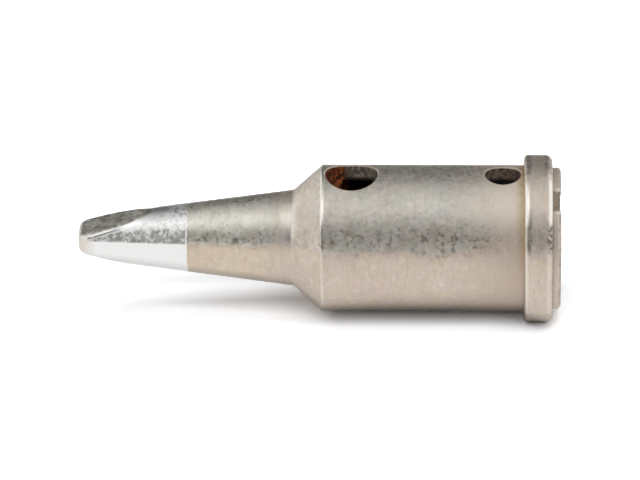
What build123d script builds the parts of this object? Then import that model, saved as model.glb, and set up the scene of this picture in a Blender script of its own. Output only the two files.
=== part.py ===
from build123d import *
from math import radians, sqrt, tan
import os

# Soldering tip for a gas iron: a bored and plated copper body with a double-flat bit,
# and a catalyst sleeve inside. Lengths in millimetres, angles in degrees.
# The tip stands on its rear rim: the origin is the middle of the rear face, +Z runs
# along the axis to the bit, and the two gas ports open towards -Y.

# Bore, from the front chamber to the rear mouth
chamber_bore_dia = 9.0
seat_step = 0.1               # the sleeve's bore is this much larger in radius
socket_step = 0.2             # and the burner socket this much larger again
socket_depth = 3.0
drill_point_angle = 150.0     # included angle of the bore's blind end
blind_end_set_back = 1.55     # bore wall ends this far behind the shoulder's edge

# Barrel, flange and spigot
barrel_wall = 1.2
barrel_length = 15.7
flange_height = 0.8           # proud of the barrel
flange_thickness = 2.2
flange_front_radius = 0.3
flange_rear_radius = 0.55
spigot_wall = 0.72
spigot_length = 0.66
spigot_edge_radius = 0.3

# Keyway in the spigot
keyway_turn = -29.0           # about +Z, from the side that the ports open to
keyway_mouth = 2.1
keyway_floor = 0.8
keyway_depth = 0.3
keyway_rim_notch = 0.2

# Shoulder and taper
shoulder_angle = 41.2         # to the axis
shoulder_edge_radius = 0.2
taper_root_dia = 7.48
taper_root_radius = 0.4
taper_length = 16.78

# Bit
bit_width = 3.2
bit_thickness = 1.37
flat_angle = 16.5             # each flat to the axis
bit_edge_radius = 0.42
bit_corner_radius = 0.9       # of the end's two rounded corners

# Gas ports, both drilled from the -Y side
exhaust_port_dia = 4.08
rear_port_dia = 2.78
port_gap = 0.26               # from the shoulder's edge or the flange to a port's edge
port_rim_chamfer = 0.1

# Catalyst sleeve, seated on the step between the ports
port_land = 0.4               # bore left between each port and the sleeve
sleeve_clearance = 0.03
sleeve_flow_dia = 5.2

# Radii and stations that follow from them
chamber_r = chamber_bore_dia / 2
sleeve_bore_r = chamber_r + seat_step
socket_r = sleeve_bore_r + socket_step
spigot_r = socket_r + spigot_wall
barrel_r = chamber_r + barrel_wall
flange_r = barrel_r + flange_height
taper_root_r = taper_root_dia / 2
exhaust_port_r = exhaust_port_dia / 2
rear_port_r = rear_port_dia / 2

flange_front_z = spigot_length + flange_thickness
shoulder_z = flange_front_z + barrel_length
taper_z = shoulder_z + (barrel_r - taper_root_r) / tan(radians(shoulder_angle))
bit_end_z = taper_z + taper_length
blind_end_z = shoulder_z - blind_end_set_back
drill_point_z = blind_end_z + chamber_r / tan(radians(drill_point_angle / 2))
exhaust_port_z = shoulder_z - port_gap - exhaust_port_r
rear_port_z = flange_front_z + port_gap + rear_port_r
seat_z = exhaust_port_z - exhaust_port_r - port_land
sleeve_rear_z = rear_port_z + rear_port_r + port_land


def corner(outline, radius, height):
    """The outline's corner at this radius and height."""
    return outline.vertices().sort_by_distance((radius, 0, height))[0]


def turned_blank():
    """The outside and the stepped bore, turned round the axis."""
    section = Plane.XZ * Polygon(
        (socket_r, 0),
        (spigot_r, 0),
        (spigot_r, spigot_length),
        (flange_r, spigot_length),
        (flange_r, flange_front_z),
        (barrel_r, flange_front_z),
        (barrel_r, shoulder_z),
        (taper_root_r, taper_z),
        (bit_width / 2, bit_end_z),
        (0, bit_end_z),
        (0, drill_point_z),
        (chamber_r, blind_end_z),
        (chamber_r, seat_z),
        (sleeve_bore_r, seat_z),
        (sleeve_bore_r, socket_depth),
        (socket_r, socket_depth),
        align=None,
    )
    rounded = (
        (spigot_r, 0, spigot_edge_radius),
        (flange_r, spigot_length, flange_rear_radius),
        (flange_r, flange_front_z, flange_front_radius),
        (barrel_r, shoulder_z, shoulder_edge_radius),
        (taper_root_r, taper_z, taper_root_radius),
        (bit_width / 2, bit_end_z, bit_corner_radius),
    )
    for radius, height, rounding in rounded:
        section = fillet(corner(section, radius, height), rounding)
    return revolve(section, Axis.Z)


def flat_cutter():
    """The wedge of metal ground off the +Y side to leave one flat."""
    near = bit_thickness / 2
    far = near + taper_length * tan(radians(flat_angle))
    wedge = Plane.YZ * Polygon((near, bit_end_z), (far, taper_z), (far, bit_end_z), align=None)
    return extrude(wedge, taper_root_dia, both=True)


def ground_bit(body):
    """Two flats that thin the taper to a chisel, with their edges softened."""
    cutter = flat_cutter()
    body = body - cutter - cutter.mirror(Plane.XZ)
    tip_faces = body.faces().filter_by(GeomType.PLANE).filter_by(lambda face: face.center().Z > taper_z)
    flats = tip_faces.filter_by(lambda face: abs(face.center().Y) > bit_thickness / 4)
    return fillet(flats.edges(), bit_edge_radius)


def port_cutter(radius, height):
    """A drill of this radius, from the axis out through the wall on the -Y side."""
    return Plane.XZ * Pos(0, height, 0) * Cylinder(
        radius, 2 * barrel_r, align=(Align.CENTER, Align.CENTER, Align.MIN)
    )


def drilled_port(body, radius, height):
    """A gas port, its rim eased where it breaks the barrel's surface."""
    body = body - port_cutter(radius, height)
    rim = body.edges().sort_by_distance((0, -barrel_r, height))[0]
    return chamfer(rim, port_rim_chamfer)


def keyway_cutter():
    """A groove with sloping sides along the spigot, and the notch it leaves in the rim."""
    floor_r = spigot_r - keyway_depth
    half_floor = keyway_floor / 2
    half_mouth = keyway_mouth / 2
    mouth_height = sqrt(spigot_r ** 2 - half_mouth ** 2)
    widening = (half_mouth - half_floor) / (mouth_height - floor_r)
    half_top = half_floor + (flange_r - floor_r) * widening
    groove = Polygon(
        (-half_top, -flange_r),
        (half_top, -flange_r),
        (half_floor, -floor_r),
        (-half_floor, -floor_r),
        align=None,
    )
    notch = Plane.XZ * Polygon(
        (-half_mouth, 0),
        (half_mouth, 0),
        (half_floor, keyway_rim_notch),
        (-half_floor, keyway_rim_notch),
        align=None,
    )
    cutter = extrude(groove, spigot_length) + extrude(notch, flange_r)
    return Rot(0, 0, keyway_turn) * cutter


def tip_body():
    body = ground_bit(turned_blank())
    body = drilled_port(body, exhaust_port_r, exhaust_port_z)
    body = drilled_port(body, rear_port_r, rear_port_z)
    return body - keyway_cutter()


def catalyst_sleeve():
    """A tube of catalyst-coated fibre, pushed up the bore against its step."""
    outer_r = sleeve_bore_r - sleeve_clearance
    flow_r = sleeve_flow_dia / 2
    section = Plane.XZ * Polygon(
        (flow_r, sleeve_rear_z),
        (outer_r, sleeve_rear_z),
        (outer_r, seat_z),
        (flow_r, seat_z),
        align=None,
    )
    return revolve(section, Axis.Z)


os.makedirs("parts", exist_ok=True)
export_step(tip_body(), "parts/tip_body.step")
export_step(catalyst_sleeve(), "parts/catalyst_sleeve.step")
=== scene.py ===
import bmesh
import bpy
import math
from mathutils import Matrix, Vector


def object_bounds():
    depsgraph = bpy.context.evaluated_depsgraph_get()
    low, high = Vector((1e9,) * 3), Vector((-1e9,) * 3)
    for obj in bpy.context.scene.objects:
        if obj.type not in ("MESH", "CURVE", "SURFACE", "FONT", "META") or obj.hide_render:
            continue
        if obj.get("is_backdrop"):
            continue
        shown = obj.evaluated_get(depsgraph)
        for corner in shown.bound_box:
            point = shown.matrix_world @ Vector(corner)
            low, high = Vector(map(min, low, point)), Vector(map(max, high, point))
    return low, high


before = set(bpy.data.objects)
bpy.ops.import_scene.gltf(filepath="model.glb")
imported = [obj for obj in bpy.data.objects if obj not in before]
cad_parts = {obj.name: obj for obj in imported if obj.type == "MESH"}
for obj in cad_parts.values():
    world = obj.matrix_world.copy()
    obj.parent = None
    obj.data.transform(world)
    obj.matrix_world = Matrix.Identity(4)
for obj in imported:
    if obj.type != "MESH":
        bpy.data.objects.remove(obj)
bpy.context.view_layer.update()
bpy.context.scene.view_settings.view_transform = "Standard"
print("frame loaded:", ", ".join(sorted(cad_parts)))

mmPerMetre = 1000


# sRGB hex to the linear colour that shaders want
def hexColour(code):
    channels = [int(code[i:i + 2], 16) / 255 for i in (1, 3, 5)]
    return [c / 12.92 if c <= 0.04045 else ((c + 0.055) / 1.055) ** 2.4 for c in channels] + [1.0]


# adds one node with its settings; a list fills its inputs in order, a dictionary by name,
# and a node given as a value stands for its first output
def addNode(tree, kind, inputs=(), **settings):
    node = tree.nodes.new("ShaderNode" + kind)
    for name, value in settings.items():
        setattr(node, name, value)
    sockets = [socket for socket in node.inputs if socket.enabled]
    given = inputs if isinstance(inputs, dict) else dict(enumerate(inputs))
    for key, value in given.items():
        socket = sockets[key] if isinstance(key, int) else next(s for s in sockets if s.name == key)
        if isinstance(value, bpy.types.Node):
            value = next(s for s in value.outputs if s.enabled)
        if isinstance(value, bpy.types.NodeSocket):
            tree.links.new(value, socket)
        else:
            socket.default_value = value
    return node


# an empty node tree for a material
def newMaterial(name):
    material = bpy.data.materials.new(name)
    material.use_nodes = True
    material.node_tree.nodes.clear()
    return material, material.node_tree


# gives a colour ramp its stops, written as degrees round the axis and a grey
def setStops(ramp, stops):
    elements = ramp.color_ramp.elements
    while len(elements) < len(stops):
        elements.new(0.5)
    for element, (degrees, tone) in zip(elements, stops):
        element.position = degrees / 360 + 0.5
        element.color = (tone, tone, tone, 1)


# unit vector at this angle round the tip's axis
def around(degrees):
    return Vector((math.cos(math.radians(degrees)), math.sin(math.radians(degrees)), 0))


# places an object with these three directions as its own X, Y and Z
def turnTo(thing, x, y, z, place):
    thing.matrix_world = Matrix((
        (x.x, y.x, z.x, place.x),
        (x.y, y.y, z.y, place.y),
        (x.z, y.z, z.z, place.z),
        (0, 0, 0, 1),
    ))


# The photo looks square on to the tip's axis, with the bit to the left, so image up and
# the camera's side are both directions round that axis.
view = {
    "cameraSideDeg": 208.5,      # the ports then lean 61.5 degrees up from the camera
    "aboveTableDeg": 22.0,       # how far the camera looks down on the table
    "mmPerPixel": 0.078,
    "widthPixels": 640,
    "distance": 0.49,
    "rollDeg": 0.18,             # bit end a little high
    "footHeight": 0.0066,        # where the camera is square to the axis
    "middleHeight": 0.01875,     # what is in the middle of the picture
    "middleDrop": -0.00019,
    "sensor": 36.0,
    "clip": (0.01, 10),
}
alongTip = Vector((0, 0, 1))
cameraSide = around(view["cameraSideDeg"])
imageUp = around(view["cameraSideDeg"] + 90)
tableUp = around(view["cameraSideDeg"] + 90 - view["aboveTableDeg"])


def makeCamera():
    camera = bpy.data.objects.new("camera", bpy.data.cameras.new("camera"))
    bpy.context.scene.collection.objects.link(camera)
    middle = alongTip * view["middleHeight"] + imageUp * view["middleDrop"]
    place = alongTip * view["footHeight"] + imageUp * view["middleDrop"] + cameraSide * view["distance"]
    back = (place - middle).normalized()
    up = imageUp + alongTip * math.tan(math.radians(view["rollDeg"]))
    up = (up - back * up.dot(back)).normalized()
    turnTo(camera, up.cross(back), up, back, place)
    frameWidth = view["mmPerPixel"] * view["widthPixels"] / mmPerMetre
    camera.data.sensor_width = view["sensor"]
    camera.data.lens = view["sensor"] * (place - middle).length / frameWidth
    camera.data.clip_start, camera.data.clip_end = view["clip"]
    bpy.context.scene.camera = camera


# White card. The camera sees it over-exposed, as in the photo, so only the deepest part of
# the shadow is left; the metal mirrors it with the soft shade that a white room leaves.
table = {
    "size": 1.6,
    "colour": "#F6F6F5",
    "overExposed": (1.275, 1.29, 1.315, 1.0),
    "shadeReach": 0.03,          # how far off the tip still takes light from the card
    "shadeSamples": 8,
    "shadeFrom": 0.17,           # share of open sky that mirrors black, and white
    "shadeTo": 0.5,
    "mirrored": 0.97,
}


def makeTable():
    mesh = bpy.data.meshes.new("table")
    shape = bmesh.new()
    bmesh.ops.create_grid(shape, x_segments=1, y_segments=1, size=table["size"] / 2)
    shape.to_mesh(mesh)
    shape.free()
    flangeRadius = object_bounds()[1][0]     # the flange is the widest part, so it lies on the table
    card = bpy.data.objects.new("table", mesh)
    bpy.context.scene.collection.objects.link(card)
    middle = alongTip * view["middleHeight"] - tableUp * flangeRadius
    turnTo(card, alongTip, tableUp.cross(alongTip), tableUp, middle)
    card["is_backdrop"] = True

    material, tree = newMaterial("white card table")
    path = addNode(tree, "LightPath")
    face = addNode(tree, "NewGeometry")
    tone = addNode(tree, "Mix", [
        path.outputs["Is Camera Ray"], hexColour(table["colour"]), table["overExposed"],
    ], data_type="RGBA")
    paper = addNode(tree, "BsdfDiffuse", {"Color": tone})
    sky = addNode(tree, "AmbientOcclusion", {"Distance": table["shadeReach"]}, samples=table["shadeSamples"])
    shade = addNode(tree, "MapRange", [
        sky.outputs["AO"], table["shadeFrom"], table["shadeTo"], 0.0, table["mirrored"],
    ])
    shaded = addNode(tree, "Emission", {"Strength": shade})
    mirrored = addNode(tree, "Math", [
        path.outputs["Is Glossy Ray"], path.outputs["Is Transmission Ray"],
    ], operation="ADD", use_clamp=True)
    front = addNode(tree, "MixShader", [mirrored, paper, shaded])
    clear = addNode(tree, "BsdfTransparent")
    oneSided = addNode(tree, "MixShader", [face.outputs["Backfacing"], front, clear])
    addNode(tree, "OutputMaterial", {"Surface": oneSided})
    mesh.materials.append(material)


# A trough of white and black cloth bent round the tip, open at both ends. The metal
# mirrors it, the camera looks through it.
tent = {
    "radius": 0.6,
    "halfLength": 0.27,
    "fromDeg": -30,              # degrees up from the camera's side, here and below
    "toDeg": 175,
    "steps": 60,
    "tones": [
        (-30, 0.97), (-21, 0.97), (-18, 0.11), (0, 0.13), (9, 0.2), (18, 0.42), (33, 0.88),
        (44, 1.15), (54, 1.2), (66, 0.88), (82, 0.62), (103, 0.33), (119, 0.17), (135, 0.15),
        (160, 0.21), (175, 0.3),
    ],
}


def makeTent():
    mesh = bpy.data.meshes.new("light tent")
    shape = bmesh.new()
    start = around(view["cameraSideDeg"] + tent["fromDeg"]) * tent["radius"]
    ends = [shape.verts.new(start + alongTip * tent["halfLength"] * side) for side in (-1, 1)]
    edge = shape.edges.new(ends)
    bmesh.ops.spin(
        shape, geom=ends + [edge], cent=(0, 0, 0), axis=alongTip,
        angle=math.radians(tent["toDeg"] - tent["fromDeg"]), steps=tent["steps"],
    )
    shape.to_mesh(mesh)
    shape.free()
    cloth = bpy.data.objects.new("light tent", mesh)
    bpy.context.scene.collection.objects.link(cloth)
    cloth.location.z = view["middleHeight"]
    cloth.visible_camera = False
    cloth.visible_diffuse = False
    cloth.visible_shadow = False
    cloth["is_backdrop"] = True

    material, tree = newMaterial("lit tent cloth")
    where = addNode(tree, "TexCoord")
    turned = addNode(tree, "Mapping", {
        "Vector": where.outputs["Object"],
        "Rotation": (0, 0, -math.radians(view["cameraSideDeg"])),
    })
    sweep = addNode(tree, "TexGradient", {"Vector": turned}, gradient_type="RADIAL")
    tones = addNode(tree, "ValToRGB", {"Fac": sweep.outputs["Fac"]})
    setStops(tones, tent["tones"])
    glow = addNode(tree, "Emission", {"Color": tones})
    addNode(tree, "OutputMaterial", {"Surface": glow})
    mesh.materials.append(material)


room = {
    "white": 1.0,                # to the camera, and in the metal
    "fill": 0.02,                # the light it gives to matt surfaces
}


def makeRoom():
    world = bpy.data.worlds.new("white room")
    bpy.context.scene.world = world
    world.use_nodes = True
    tree = world.node_tree
    tree.nodes.clear()
    path = addNode(tree, "LightPath")
    looked = path.outputs["Is Camera Ray"]
    for mirrored in ("Is Glossy Ray", "Is Transmission Ray"):
        looked = addNode(tree, "Math", [looked, path.outputs[mirrored]], operation="ADD", use_clamp=True)
    level = addNode(tree, "MapRange", {"Value": looked, "To Min": room["fill"], "To Max": room["white"]})
    walls = addNode(tree, "Background", {"Color": (1, 1, 1, 1), "Strength": level})
    addNode(tree, "OutputWorld", {"Surface": walls})


# Softboxes for the table and the shadow; the metal mirrors the tent instead.
lamps = {
    "distance": 0.5,
    "length": 0.6,
    "boxes": [                   # degrees up from the camera's side, width, watts
        (17, 0.32, 3.2),
        (59, 0.21, 1.87),
    ],
}


def makeLamps():
    for degrees, width, watts in lamps["boxes"]:
        out = around(view["cameraSideDeg"] + degrees)
        lamp = bpy.data.lights.new("softbox", "AREA")
        lamp.shape = "RECTANGLE"
        lamp.size = lamps["length"]
        lamp.size_y = width
        lamp.energy = watts
        box = bpy.data.objects.new("softbox", lamp)
        box.visible_camera = False
        box.visible_glossy = False
        bpy.context.scene.collection.objects.link(box)
        middle = alongTip * view["middleHeight"] + out * lamps["distance"]
        turnTo(box, alongTip, out.cross(alongTip), out, middle)


makeCamera()
makeTable()
makeTent()
makeRoom()
makeLamps()
print("camera, table, tent, room and lamps made")


# Sizes that the finishes need, in millimetres in the part's own frame. Where two numbers
# are given, here and below, a change runs from the one to the other. Four are a pattern's
# values, from and to, and the amounts that these give.
body = {
    "boreEdge": 4.88,            # radius that the socket stays inside, near the mouth
    "wallEdge": 5.62,            # radius that the port walls stay inside
    "wallDepth": 0.05,           # how far inside those the soot is full
    "mouthHeight": (0.9, 1.0),
    "chamberEdge": (4.62, 4.85),     # radii between the bore's wall and a port's
    "boreEnd": (18.35, 18.37),
    "barrelFrom": 2.86,
    "taperFrom": (21.3, 24.3),
    "tinFrom": 28.99,
    "bitEnd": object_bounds()[1][2] * mmPerMetre,
    "flatDeg": 16.5,
    "flatHalf": 0.685,           # half the bit's thickness at its end
    "ports": [(16.26, 2.04), (4.51, 1.39)],      # height and radius
}


# where a point of the tip is, in mm and in degrees round the axis from the camera's side
def placeOnTip(tree):
    where = addNode(tree, "TexCoord").outputs["Object"]
    inMm = (mmPerMetre, mmPerMetre, mmPerMetre)
    photo = addNode(tree, "Mapping", {           # X to the photo's camera and Y up
        "Vector": where,
        "Rotation": (0, 0, -math.radians(view["cameraSideDeg"])),
        "Scale": inMm,
    })
    own = addNode(tree, "Mapping", {"Vector": where, "Scale": inMm})
    across = addNode(tree, "VectorMath", [photo, (1, 1, 0)], operation="MULTIPLY")
    sweep = addNode(tree, "TexGradient", [photo], gradient_type="RADIAL").outputs["Fac"]
    return {
        "photo": photo,
        "own": own,
        "sideways": addNode(tree, "SeparateXYZ", [own]).outputs["Y"],
        "height": addNode(tree, "SeparateXYZ", [photo]).outputs["Z"],
        "radius": addNode(tree, "VectorMath", [across], operation="LENGTH"),
        "turn": addNode(tree, "Math", [sweep, 360.0, -180.0], operation="MULTIPLY_ADD"),
    }


# Noise patterns that the finishes share: patch size in mm, detail, roughness, distortion.
# The real grain is finer than this and would not show.
patterns = {
    "cloud": (2.4, 4.0, 0.62, 0.0),
    "tint": (1.3, 2.0, 0.55, 0.0),
    "mottle": (0.8, 3.0, 0.6, 0.5),
    "pits": (0.34, 2.0, 0.55, 0.4),
    "flecks": (0.5, 2.0, 0.5, 0.3),
    "streaks": (0.3, 3.0, 0.6, 0.0),
    "grain": (0.12, 2.0, 0.5, 0.0),
    "ripple": (0.9, 2.0, 0.5, 0.6),
    "specks": (0.4, 3.0, 0.65, 0.8),
    "rust": (0.55, 3.0, 0.5, 1.0),
}
drawnRound = (0.22, 0.22, 1)     # the streaks run round the axis, as turning leaves them


def drawPatterns(tree, place):
    drawn = addNode(tree, "VectorMath", [place, drawnRound], operation="MULTIPLY")
    noises = {}
    for name, (sizeMm, detail, roughness, distortion) in patterns.items():
        noises[name] = addNode(tree, "TexNoise", {
            "Vector": drawn if name == "streaks" else place,
            "Scale": 1 / sizeMm,
            "Detail": detail,
            "Roughness": roughness,
            "Distortion": distortion,
        })
    return noises


# how much there is at an angle round the axis, by a list of degrees and amounts
def amountRound(tree, degrees, stops):
    ramp = addNode(tree, "ValToRGB", {
        "Fac": addNode(tree, "MapRange", [degrees, -180.0, 180.0, 0.0, 1.0]),
    })
    setStops(ramp, stops)
    return ramp


# Nickel plate over copper, turned and barrel-polished, then used hot: a satin metal with
# a clean warm underside and a thin grey film, clouded and pitted, on the side turned up.
plating = {
    "warm": "#D6C6BA",
    "warmTaper": "#DBCAB6",
    "warmStreak": "#D9CBB4",
    "streaky": (0.45, 0.7, 0.0, 0.8),
    "film": "#D4CDC4",
    "filmCool": "#CCCBC2",
    "cool": (0.4, 0.6, 0.0, 1.0),
    "filmTaper": "#E6E3D8",
    "tinted": 0.1,
    "filmFromDeg": (-15, -9.5),  # round the axis from the camera's side
    "filmToDeg": (135, 165),
    "raggedDeg": 22.5,           # the clouds move its edges within this span
    "thinFrom": (4.0, 8.0),      # towards the flange the film thins out
    "thinDeg": 24,
    "thinFilm": 0.55,
    "flangeFilm": 0.4,
    "rootAt": 20.4,              # on the shoulder and the taper's root it is thin too
    "rootMm": (1.4, 2.0),
    "rootFilm": 0.5,
    "grime": [                   # how thick the mottling lies round the axis
        (-180, 0.1), (-17, 0.1), (-9, 0.9), (3, 0.95), (12, 0.5), (22, 0.22), (38, 0.24),
        (48, 0.45), (60, 0.8), (85, 1.0), (115, 0.8), (150, 0.4), (180, 0.1),
    ],
    "patchy": (0.34, 0.6, 0.4, 1.0),
    "mottle": "#978B7A",
    "mottled": (0.36, 0.66, 0.0, 0.66),
    "pit": "#5F5548",
    "pitted": (0.48, 0.68, 0.0, 0.7),
    "fleck": "#E8DECF",
    "flecked": (0.5, 0.72, 0.0, 0.4),
    "streak": "#B3A699",
    "streaked": (0.45, 0.7, 0.0, 0.22),
    "rear": "#E9DED0",           # near the flange: clean, with painted light on top and painted shade below
    "rearPaintedShade": "#C6B7AA",
    "rearMm": (4.0, 8.5),
    "rearAmount": 0.75,
    "rearUp": [
        (-180, 0.0), (-12, 0.0), (14, 1.0), (135, 1.0), (165, 0.0), (180, 0.0),
    ],
    "under": "#7E7266",          # painted shade where it faces the table
    "paintedShadeAmount": [
        (-180, 0.0), (-160, 0.0), (-138, 0.6), (-84, 0.6), (-62, 0.0), (180, 0.0),
    ],
    "paintedShadeTaperDeg": -9.0,       # how much further round the painted shade comes on the taper
    "roughness": 0.46,
    "taperRoughness": 0.38,
    "rearRoughness": 0.64,
    "cloudRoughness": 0.25,      # how much the clouds change it
    "bumpMm": (0.0072, 0.012),   # clean, and under the film
    "pitShare": 0.7,
    "grainShare": 0.3,
}


# what the plate's finishes share: where the film lies and how thick it is, its ragged
# edges, the taper, and the streaks in the tone
def filmPlaces(tree, at, noise):
    height = at["height"]
    uneven = addNode(tree, "Math", [noise["cloud"], 0.5], operation="SUBTRACT")
    ragged = addNode(tree, "Math", [uneven, plating["raggedDeg"], at["turn"]], operation="MULTIPLY_ADD")
    onFlange = addNode(tree, "Math", [height, body["barrelFrom"]], operation="LESS_THAN")
    onBarrel = addNode(tree, "Math", [1.0, onFlange], operation="SUBTRACT")
    thin = addNode(tree, "MapRange", [height, *plating["thinFrom"], plating["thinDeg"], 0.0])
    thin = addNode(tree, "Math", [thin, onBarrel], operation="MULTIPLY")
    filmAt = addNode(tree, "Math", [ragged, thin], operation="SUBTRACT")
    film = addNode(tree, "MapRange", [
        filmAt, *plating["filmFromDeg"], 0.0, 1.0,
    ], interpolation_type="SMOOTHSTEP")
    stop = addNode(tree, "MapRange", [
        ragged, *plating["filmToDeg"], 1.0, 0.0,
    ], interpolation_type="SMOOTHSTEP")
    thickness = addNode(tree, "MapRange", [height, *plating["thinFrom"], plating["thinFilm"], 1.0])
    thickness = addNode(tree, "Mix", [onFlange, thickness, plating["flangeFilm"]])
    fromRoot = addNode(tree, "Math", [height, plating["rootAt"]], operation="SUBTRACT")
    fromRoot = addNode(tree, "Math", [fromRoot], operation="ABSOLUTE")
    atRoot = addNode(tree, "MapRange", [fromRoot, *plating["rootMm"], plating["rootFilm"], 1.0])
    thickness = addNode(tree, "Math", [thickness, atRoot], operation="MULTIPLY")
    for share in (stop, thickness):
        film = addNode(tree, "Math", [film, share], operation="MULTIPLY")
    return {
        "uneven": uneven,
        "ragged": ragged,
        "onBarrel": onBarrel,
        "onTaper": addNode(tree, "MapRange", [height, *body["taperFrom"], 0.0, 1.0]),
        "thickness": thickness,
        "film": film,
        "streaky": addNode(tree, "MapRange", [
            noise["mottle"], *plating["streaky"],
        ], interpolation_type="SMOOTHSTEP"),
    }


# warm clean nickel below, the film's cooler greys above
def plateTone(tree, at, noise):
    cool = addNode(tree, "MapRange", [noise["tint"], *plating["cool"]], interpolation_type="SMOOTHSTEP")
    filmTone = hexColour(plating["film"])
    for share, code in ((cool, plating["filmCool"]), (at["onTaper"], plating["filmTaper"])):
        filmTone = addNode(tree, "Mix", [share, filmTone, hexColour(code)], data_type="RGBA")
    warmTone = hexColour(plating["warm"])
    for share, code in ((at["onTaper"], plating["warmTaper"]), (at["streaky"], plating["warmStreak"])):
        warmTone = addNode(tree, "Mix", [share, warmTone, hexColour(code)], data_type="RGBA")
    nickel = addNode(tree, "Mix", [at["film"], warmTone, filmTone], data_type="RGBA")
    return addNode(tree, "Mix", [
        plating["tinted"], nickel, noise["tint"].outputs["Color"],
    ], data_type="RGBA", blend_type="SOFT_LIGHT")


# mottling and pits, thick where the film is, with pale flecks and fine streaks all over; then the cleaner
# stretch near the flange, with painted light on its top and painted shade below, and painted shade on the
# underside
def plateWear(tree, at, noise, nickel):
    dirtiness = amountRound(tree, at["ragged"], plating["grime"])
    patchy = addNode(tree, "MapRange", [
        noise["cloud"], *plating["patchy"],
    ], interpolation_type="SMOOTHSTEP")
    for share in (patchy, at["thickness"]):
        dirtiness = addNode(tree, "Math", [dirtiness, share], operation="MULTIPLY")
    for pattern, amounts, code, onFilm in (
        ("mottle", "mottled", "mottle", True),
        ("pits", "pitted", "pit", True),
        ("flecks", "flecked", "fleck", False),
        ("streaks", "streaked", "streak", False),
    ):
        worn = addNode(tree, "MapRange", [
            noise[pattern], *plating[amounts],
        ], interpolation_type="SMOOTHSTEP")
        if onFilm:
            worn = addNode(tree, "Math", [worn, dirtiness], operation="MULTIPLY")
        nickel = addNode(tree, "Mix", [worn, nickel, hexColour(plating[code])], data_type="RGBA")

    # near the flange: less grime, higher roughness, and a tone with painted light on top and painted shade
    # below
    nearRear = addNode(tree, "MapRange", [
        at["height"], *plating["rearMm"], plating["rearAmount"], 0.0,
    ])
    clearOfGrime = addNode(tree, "Math", [1.0, dirtiness], operation="SUBTRACT")
    for share in (clearOfGrime, at["onBarrel"]):
        nearRear = addNode(tree, "Math", [nearRear, share], operation="MULTIPLY")
    rearPaintedLightAndShade = addNode(tree, "Mix", [
        amountRound(tree, at["ragged"], plating["rearUp"]),
        hexColour(plating["rearPaintedShade"]),
        hexColour(plating["rear"]),
    ], data_type="RGBA")
    nickel = addNode(tree, "Mix", [nearRear, nickel, rearPaintedLightAndShade], data_type="RGBA")

    # painted shade on the underside, starting further round on the taper
    lower = addNode(tree, "Math", [
        at["onTaper"], plating["paintedShadeTaperDeg"], at["turn"],
    ], operation="MULTIPLY_ADD")
    under = amountRound(tree, lower, plating["paintedShadeAmount"])
    nickel = addNode(tree, "Mix", [under, nickel, hexColour(plating["under"])], data_type="RGBA")

    rough = addNode(tree, "Mix", [at["onTaper"], plating["roughness"], plating["taperRoughness"]])
    rough = addNode(tree, "Math", [
        at["uneven"], plating["cloudRoughness"], rough,
    ], operation="MULTIPLY_ADD")
    rough = addNode(tree, "Mix", [nearRear, rough, plating["rearRoughness"]])
    return nickel, rough


# Dried flux at the flange's root: a thin yellow-brown stain.
stain = {
    "colour": "#CBB48A",
    "reachMm": (0.1, 0.8),       # off the flange's front face
    "faceMm": 0.02,              # takes in that face itself
    "fromDeg": (-40, 25),
    "toDeg": (80, 100),
    "patchy": (0.35, 0.65, 0.4, 1.05),
}


def fluxStain(tree, at, noise, nickel):
    near, far = [body["barrelFrom"] + reach for reach in stain["reachMm"]]
    shares = (
        addNode(tree, "MapRange", [at["height"], near, far, 1.0, 0.0], interpolation_type="SMOOTHSTEP"),
        addNode(tree, "Math", [at["height"], body["barrelFrom"] - stain["faceMm"]], operation="GREATER_THAN"),
        addNode(tree, "MapRange", [at["ragged"], *stain["fromDeg"], 0.0, 1.0]),
        addNode(tree, "MapRange", [at["ragged"], *stain["toDeg"], 1.0, 0.0]),
    )
    stained = addNode(tree, "MapRange", [noise["mottle"], *stain["patchy"]])
    for share in shares:
        stained = addNode(tree, "Math", [stained, share], operation="MULTIPLY", use_clamp=True)
    return addNode(tree, "Mix", [stained, nickel, hexColour(stain["colour"])], data_type="RGBA")


# Brown halo and dull lip round each port, left by the burnt gas.
exhaust = {
    "halo": "#B7A58F",
    "haloMm": (0.08, 0.35),
    "haloAmount": 0.7,
    "lip": "#9A8C7C",
    "lipMm": (0.05, 0.16),
    "lipAmount": 0.6,
}


def portHalos(tree, at, nickel):
    flatOwn = addNode(tree, "VectorMath", [at["own"], (1, 0, 1)], operation="MULTIPLY")
    portSide = addNode(tree, "Math", [at["sideways"], 0.0], operation="LESS_THAN")
    for portHeight, portRadius in body["ports"]:
        away = addNode(tree, "VectorMath", [flatOwn, (0, 0, portHeight)], operation="DISTANCE")
        near, far = [portRadius + reach for reach in exhaust["haloMm"]]
        halo = addNode(tree, "MapRange", [
            away, near, far, exhaust["haloAmount"], 0.0,
        ], interpolation_type="SMOOTHSTEP")
        for share in (at["film"], at["streaky"], portSide):
            halo = addNode(tree, "Math", [halo, share], operation="MULTIPLY")
        nickel = addNode(tree, "Mix", [halo, nickel, hexColour(exhaust["halo"])], data_type="RGBA")
        near, far = [portRadius + reach for reach in exhaust["lipMm"]]
        lip = addNode(tree, "MapRange", [away, near, far, exhaust["lipAmount"], 0.0])
        lip = addNode(tree, "Math", [lip, portSide], operation="MULTIPLY")
        nickel = addNode(tree, "Mix", [lip, nickel, hexColour(exhaust["lip"])], data_type="RGBA")
    return nickel


# Keyway in the spigot: its floor darker, and painted highlights on the edges of its sides.
keyway = {
    "spigot": "#DCCFC4",         # the spigot's darker colour is painted shade beside the flange; it is also rougher
    "spigotAmount": 0.8,
    "spigotRoughness": 0.62,
    "upToMm": 0.66,
    "middleDeg": 32.5,
    "halfDeg": 10.6,
    "floor": "#9C8E80",
    "floorAmount": 0.8,
    "floorFadeDeg": 2,
    # painted highlights on the edges of the keyway's sides
    "keyHighlightDeg": (1.2, 2.4),
    "keyHighlightUpToMm": (0.4, 0.5),
    "worn": 0.5,
}
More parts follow.
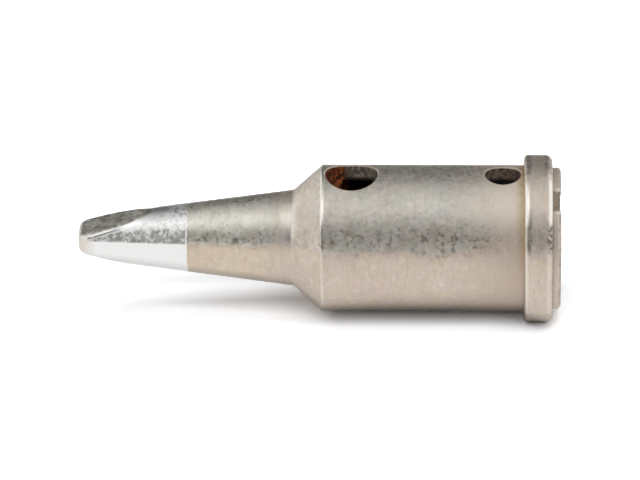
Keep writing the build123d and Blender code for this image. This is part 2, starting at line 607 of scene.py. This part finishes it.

# Painted highlights along the edges, where they would catch the light, and the dirt beside them. Heights and
# half widths in mm.
edges = {
    "paintedHighlight": "#F4EFE6",
    "roughness": 0.16,
    "fadeDeg": 5,
    "fadeWidths": (0.5, 1.5),    # a band fades between these shares of its half width
    "edgeHighlights": [                  # height, half width, from and to these degrees, strength
        (18.5, 0.13, 12, 66, 1.0),
        (2.62, 0.15, 11, 38, 1.0),
        (0.83, 0.12, 12, 42, 1.0),
        (18.5, 0.1, -62, -12, 0.3),
        (2.66, 0.12, -62, -12, 0.35),
        (0.95, 0.12, -62, -12, 0.25),
        (21.08, 0.14, -4, 42, 0.55),
        (21.15, 0.6, 2, 42, 0.4),
    ],
    "dirt": "#5C5650",
    "spotty": (0.4, 0.6, 0.3, 1.0),
    "dirty": [
        (18.44, 0.07, -9, 9, 0.8),
        (2.46, 0.16, -8, 16, 0.6),
        (0.85, 0.26, -8, 8, 0.8),
        (2.6, 0.3, 52, 80, 0.5),
        (0.95, 0.34, 54, 80, 0.5),
        (0.64, 0.05, -75, 14, 0.45),
        (0.06, 0.14, -75, 90, 0.4),
    ],
}


# the strongest of these bands round the tip, each between two angles and with soft ends
def edgeBands(tree, at, bands):
    strongest = 0.0
    for middle, half, fromDeg, toDeg, strength in bands:
        off = addNode(tree, "Math", [at["height"], middle], operation="SUBTRACT")
        off = addNode(tree, "Math", [off], operation="ABSOLUTE")
        fade = [half * width for width in edges["fadeWidths"]]
        near = addNode(tree, "MapRange", [off, *fade, strength, 0.0], interpolation_type="SMOOTHSTEP")
        begin = addNode(tree, "MapRange", [at["turn"], fromDeg - edges["fadeDeg"], fromDeg, 0.0, 1.0])
        stop = addNode(tree, "MapRange", [at["turn"], toDeg, toDeg + edges["fadeDeg"], 1.0, 0.0])
        for share in (begin, stop):
            near = addNode(tree, "Math", [near, share], operation="MULTIPLY")
        strongest = addNode(tree, "Math", [near, strongest], operation="MAXIMUM")
    return strongest


# the spigot with painted shade and its keyway, dirt beside the edges, then painted highlights on the edges
# and the keyway's sides
def spigotAndEdges(tree, at, noise, nickel, rough):
    height = at["height"]
    onSpigot = addNode(tree, "Math", [height, keyway["upToMm"]], operation="LESS_THAN")
    # painted shade: a darker colour on the spigot beside the flange
    spigotShade = addNode(tree, "Math", [onSpigot, keyway["spigotAmount"]], operation="MULTIPLY")
    nickel = addNode(tree, "Mix", [spigotShade, nickel, hexColour(keyway["spigot"])], data_type="RGBA")
    rough = addNode(tree, "Mix", [onSpigot, rough, keyway["spigotRoughness"]])
    fromMiddle = addNode(tree, "Math", [at["turn"], keyway["middleDeg"]], operation="SUBTRACT")
    fromMiddle = addNode(tree, "Math", [fromMiddle], operation="ABSOLUTE")
    cut = addNode(tree, "MapRange", [
        fromMiddle, keyway["halfDeg"] - keyway["floorFadeDeg"], keyway["halfDeg"], keyway["floorAmount"], 0.0,
    ])
    cut = addNode(tree, "Math", [cut, onSpigot], operation="MULTIPLY")
    nickel = addNode(tree, "Mix", [cut, nickel, hexColour(keyway["floor"])], data_type="RGBA")

    spotty = addNode(tree, "MapRange", [noise["pits"], *edges["spotty"]], interpolation_type="SMOOTHSTEP")
    dirt = edgeBands(tree, at, edges["dirty"])
    dirt = addNode(tree, "Math", [dirt, spotty], operation="MULTIPLY")
    nickel = addNode(tree, "Mix", [dirt, nickel, hexColour(edges["dirt"])], data_type="RGBA")

    # painted highlights along the edges
    paintedHighlight = edgeBands(tree, at, edges["edgeHighlights"])
    # painted highlights on the edges of the keyway's sides
    worn = addNode(tree, "Math", [fromMiddle, keyway["halfDeg"]], operation="SUBTRACT")
    worn = addNode(tree, "Math", [worn], operation="ABSOLUTE")
    worn = addNode(tree, "MapRange", [worn, *keyway["keyHighlightDeg"], keyway["worn"], 0.0])
    atRim = addNode(tree, "MapRange", [height, *keyway["keyHighlightUpToMm"], 1.0, 0.0])
    worn = addNode(tree, "Math", [worn, atRim], operation="MULTIPLY")
    paintedHighlight = addNode(tree, "Math", [paintedHighlight, worn], operation="MAXIMUM")
    nickel = addNode(tree, "Mix", [paintedHighlight, nickel, hexColour(edges["paintedHighlight"])], data_type="RGBA")
    rough = addNode(tree, "Mix", [paintedHighlight, rough, edges["roughness"]])
    return nickel, rough


def nickelPlate(tree, at, noise):
    colour = plateTone(tree, at, noise)
    colour, roughness = plateWear(tree, at, noise, colour)
    colour = fluxStain(tree, at, noise, colour)
    colour = portHalos(tree, at, colour)
    colour, roughness = spigotAndEdges(tree, at, noise, colour, roughness)
    fine = addNode(tree, "Math", [noise["grain"], plating["grainShare"]], operation="MULTIPLY")
    relief = addNode(tree, "Math", [noise["pits"], plating["pitShare"], fine], operation="MULTIPLY_ADD")
    bumpMm = addNode(tree, "Mix", [at["film"], *plating["bumpMm"]])
    relief = addNode(tree, "Math", [relief, bumpMm], operation="MULTIPLY")
    return {"colour": colour, "roughness": roughness, "relief": relief}


# Solder tin, wetted on hot and wiped: mirror bright and white, with a fine ripple, dross
# specks on the side turned up, and the two ground flats left greyer and rougher.
tin = {
    "bright": "#F1F1F0",
    "edgeWaverMm": 0.3,          # where the tin stops, its edge wavers and has a pale rim
    "edgeMm": 0.06,
    "rim": "#FBFBF9",
    "rimMm": (0.12, 0.2),
    "rimAmount": 0.35,
    "dross": [                   # how thick the dross lies round the axis
        (-180, 0.0), (-13, 0.0), (-11, 1.0), (9, 1.0), (18, 0.3), (34, 0.25), (48, 0.85),
        (90, 0.9), (150, 0.4), (180, 0.0),
    ],
    "cleanMm": (0.38, 0.26),     # beside the flats there is none
    "speck": "#5E5D59",
    "speckled": (0.44, 0.62, 0.0, 0.8),
    "speckRoughness": 0.32,
    "crust": "#5F5D57",          # matt, so it shows where the tin mirrors something dark
    "crusted": (0.2, 0.58, 0.0, 0.9),
    "crustTopDeg": (20.0, 40.0),
    "crustTop": 0.35,
    "crustRoughness": 0.6,
    # painted shade on the underside
    "under": "#A5A19D",
    "paintedShadeAmount": [
        (-180, 0.0), (-165, 0.0), (-135, 0.55), (-75, 0.55), (-45, 0.0), (180, 0.0),
    ],
    "end": "#D6CEC2",            # the working end is greyer, and darker on top
    "endDark": "#8B877F",
    "endUpDeg": (4, 30),
    "endMm": (1.4, 0.3),         # back from the end
    "endAmount": 0.85,
    "flat": "#E0DDD3",
    "flatDark": "#99968C",
    "flatMm": (0.1, 0.03),       # inside the planes of the flats
    "blotches": 0.5,             # of mottle and specks in equal parts
    "blotched": (0.38, 0.62, 0.0, 1.0),
    "roughness": 0.14,
    "flatRoughness": 0.36,
    "bumpMm": 0.012,
    "rippleShare": 0.8,
    "speckShare": 0.2,
    "drossBumpMm": 0.014,
}


def solderTin(tree, at, noise):
    # where the tin stops, and its two ground flats
    edge = addNode(tree, "Math", [
        noise["flecks"], tin["edgeWaverMm"], at["height"],
    ], operation="MULTIPLY_ADD")
    edge = addNode(tree, "Math", [edge, tin["edgeWaverMm"] / 2], operation="SUBTRACT")
    tinned = addNode(tree, "MapRange", [edge, body["tinFrom"], body["tinFrom"] + tin["edgeMm"], 0.0, 1.0])
    sideways = addNode(tree, "Math", [at["sideways"]], operation="ABSOLUTE")
    slope = math.tan(math.radians(body["flatDeg"]))
    flatTop = body["flatHalf"] + body["bitEnd"] * slope
    flatAt = addNode(tree, "Math", [at["height"], slope, sideways], operation="MULTIPLY_ADD")
    near, far = [flatTop - inset for inset in tin["flatMm"]]
    ground = addNode(tree, "MapRange", [flatAt, near, far, 0.0, 1.0])
    near, far = [flatTop - inset for inset in tin["cleanMm"]]
    offEdge = addNode(tree, "MapRange", [flatAt, near, far, 1.0, 0.0])

    # dross: specks and a matt crust; then painted shade on the underside
    dross = amountRound(tree, at["turn"], tin["dross"])
    speckled = addNode(tree, "MapRange", [noise["specks"], *tin["speckled"]], interpolation_type="SMOOTHSTEP")
    for share in (dross, offEdge):
        speckled = addNode(tree, "Math", [speckled, share], operation="MULTIPLY")
    crusted = addNode(tree, "MapRange", [noise["pits"], *tin["crusted"]], interpolation_type="SMOOTHSTEP")
    belowTop = addNode(tree, "MapRange", [at["turn"], *tin["crustTopDeg"], 1.0, tin["crustTop"]])
    for share in (dross, offEdge, tinned, belowTop):
        crusted = addNode(tree, "Math", [crusted, share], operation="MULTIPLY")
    white = hexColour(tin["bright"])
    for share, code in (
        (crusted, tin["crust"]),
        (speckled, tin["speck"]),
        (amountRound(tree, at["turn"], tin["paintedShadeAmount"]), tin["under"]),
    ):
        white = addNode(tree, "Mix", [share, white, hexColour(code)], data_type="RGBA")

    # the greyed end, the blotched flats and the pale rim
    near, far = [body["bitEnd"] - back for back in tin["endMm"]]
    atEnd = addNode(tree, "MapRange", [at["height"], near, far, 0.0, tin["endAmount"]])
    endUp = addNode(tree, "MapRange", [at["turn"], *tin["endUpDeg"], 0.0, 1.0])
    endTone = addNode(tree, "Mix", [
        endUp, hexColour(tin["end"]), hexColour(tin["endDark"]),
    ], data_type="RGBA")
    blotched = addNode(tree, "Mix", [tin["blotches"], noise["mottle"], noise["specks"]])
    blotched = addNode(tree, "MapRange", [blotched, *tin["blotched"]], interpolation_type="SMOOTHSTEP")
    flatTone = addNode(tree, "Mix", [
        blotched, hexColour(tin["flat"]), hexColour(tin["flatDark"]),
    ], data_type="RGBA")
    near, far = [body["tinFrom"] + reach for reach in tin["rimMm"]]
    rim = addNode(tree, "MapRange", [edge, near, far, 1.0, 0.0])
    for share in (tin["rimAmount"], dross):
        rim = addNode(tree, "Math", [rim, share], operation="MULTIPLY")
    for share, tone in ((atEnd, endTone), (ground, flatTone), (rim, hexColour(tin["rim"]))):
        white = addNode(tree, "Mix", [share, white, tone], data_type="RGBA")

    rough = tin["roughness"]
    for share, value in (
        (ground, tin["flatRoughness"]),
        (speckled, tin["speckRoughness"]),
        (crusted, tin["crustRoughness"]),
    ):
        rough = addNode(tree, "Mix", [share, rough, value])

    specks = addNode(tree, "Math", [noise["specks"], tin["speckShare"]], operation="MULTIPLY")
    relief = addNode(tree, "Math", [noise["ripple"], tin["rippleShare"], specks], operation="MULTIPLY_ADD")
    relief = addNode(tree, "Math", [relief, tin["bumpMm"]], operation="MULTIPLY")
    lumps = noise["specks"]
    for share in (offEdge, dross):
        lumps = addNode(tree, "Math", [lumps, share], operation="MULTIPLY")
    relief = addNode(tree, "Math", [lumps, tin["drossBumpMm"], relief], operation="MULTIPLY_ADD")
    metallic = addNode(tree, "Math", [1.0, crusted], operation="SUBTRACT")
    return {"here": tinned, "colour": white, "roughness": rough, "metallic": metallic, "relief": relief}


# Soot and rust in the bore and the port walls, burnt on by the gas: matt and dark.
soot = {
    "bore": "#1F1B18",
    "drilled": "#7A7066",
    "drilledDark": "#4A4139",
    "rear": "#5E5144",
    "rearDark": "#2A221B",
    "rearUpTo": 8.0,
    "rust": "#8A4C26",
    "scale": "#331910",
    "flaking": (0.4, 0.6, 0.0, 1.0),
    "rustFrom": (17.1, 17.5),
    "rustWaverMm": 1.2,
    "roughness": 0.8,
    "metallic": 0.25,
}


def sootyBore(tree, at, noise):
    # inside means within the socket near the mouth, and under the barrel's surface further in
    mouth = addNode(tree, "MapRange", [at["height"], *body["mouthHeight"], 0.0, 1.0])
    insideRadius = addNode(tree, "Mix", [mouth, body["boreEdge"], body["wallEdge"]])
    depth = addNode(tree, "Math", [insideRadius, at["radius"]], operation="SUBTRACT")
    inside = addNode(tree, "MapRange", [depth, 0.0, body["wallDepth"], 0.0, 1.0])
    behindEnd = addNode(tree, "MapRange", [at["height"], *body["boreEnd"], 1.0, 0.0])
    inside = addNode(tree, "Math", [inside, behindEnd], operation="MULTIPLY")

    flaking = addNode(tree, "MapRange", [noise["rust"], *soot["flaking"]], interpolation_type="SMOOTHSTEP")
    flaked = {}
    for name, dark, pale in (
        ("rust", "scale", "rust"),
        ("front", "drilledDark", "drilled"),
        ("rear", "rearDark", "rear"),
    ):
        flaked[name] = addNode(tree, "Mix", [
            flaking, hexColour(soot[dark]), hexColour(soot[pale]),
        ], data_type="RGBA")
    atRear = addNode(tree, "Math", [at["height"], soot["rearUpTo"]], operation="LESS_THAN")
    wall = addNode(tree, "Mix", [atRear, flaked["front"], flaked["rear"]], data_type="RGBA")
    deep = addNode(tree, "MapRange", [at["radius"], *body["chamberEdge"], 1.0, 0.0])
    wall = addNode(tree, "Mix", [deep, wall, hexColour(soot["bore"])], data_type="RGBA")
    rustEdge = addNode(tree, "Math", [
        noise["rust"], soot["rustWaverMm"], at["height"],
    ], operation="MULTIPLY_ADD")
    rusted = addNode(tree, "MapRange", [
        rustEdge, *soot["rustFrom"], 0.0, 1.0,
    ], interpolation_type="SMOOTHSTEP")
    wall = addNode(tree, "Mix", [rusted, wall, flaked["rust"]], data_type="RGBA")
    return {"here": inside, "colour": wall}


def tipMetal():
    material, tree = newMaterial("nickel plated copper, tinned bit")
    at = placeOnTip(tree)
    noise = drawPatterns(tree, at["photo"])
    at.update(filmPlaces(tree, at, noise))
    nickel = nickelPlate(tree, at, noise)
    coat = solderTin(tree, at, noise)
    bore = sootyBore(tree, at, noise)

    colour = addNode(tree, "Mix", [coat["here"], nickel["colour"], coat["colour"]], data_type="RGBA")
    colour = addNode(tree, "Mix", [bore["here"], colour, bore["colour"]], data_type="RGBA")
    roughness = addNode(tree, "Mix", [coat["here"], nickel["roughness"], coat["roughness"]])
    roughness = addNode(tree, "Mix", [bore["here"], roughness, soot["roughness"]])
    metallic = addNode(tree, "Mix", [bore["here"], coat["metallic"], soot["metallic"]])
    relief = addNode(tree, "Mix", [coat["here"], nickel["relief"], coat["relief"]])
    bump = addNode(tree, "Bump", {"Height": relief, "Distance": 1 / mmPerMetre, "Strength": 1.0})
    surface = addNode(tree, "BsdfPrincipled", {
        "Base Color": colour,
        "Metallic": metallic,
        "Roughness": roughness,
        "Normal": bump,
    })
    addNode(tree, "OutputMaterial", {"Surface": surface})
    return material


# Ceramic fibre felt with a catalyst burnt into it: matt, mottled dark brown-grey. Real
# fibres are finer than this and would not show.
felt = {
    "light": "#4E443D",
    "dark": "#26201C",
    "fibreMm": 0.18,
    "detail": 4.0,
    "fibreRoughness": 0.7,
    "distortion": 1.5,
    "roughness": 0.95,
    "bumpMm": 0.05,
}


def fibreFelt():
    material, tree = newMaterial("catalyst ceramic felt")
    where = addNode(tree, "TexCoord").outputs["Object"]
    place = addNode(tree, "Mapping", {"Vector": where, "Scale": (mmPerMetre, mmPerMetre, mmPerMetre)})
    fibres = addNode(tree, "TexNoise", {
        "Vector": place,
        "Scale": 1 / felt["fibreMm"],
        "Detail": felt["detail"],
        "Roughness": felt["fibreRoughness"],
        "Distortion": felt["distortion"],
    })
    tone = addNode(tree, "Mix", [fibres, hexColour(felt["dark"]), hexColour(felt["light"])], data_type="RGBA")
    relief = addNode(tree, "Math", [fibres, felt["bumpMm"]], operation="MULTIPLY")
    bump = addNode(tree, "Bump", {"Height": relief, "Distance": 1 / mmPerMetre, "Strength": 1.0})
    surface = addNode(tree, "BsdfPrincipled", {
        "Base Color": tone,
        "Roughness": felt["roughness"],
        "Normal": bump,
    })
    addNode(tree, "OutputMaterial", {"Surface": surface})
    return material


for name, material in (("tip_body", tipMetal()), ("catalyst_sleeve", fibreFelt())):
    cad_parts[name].material_slots[0].material = material
print("materials given to the CAD pieces")
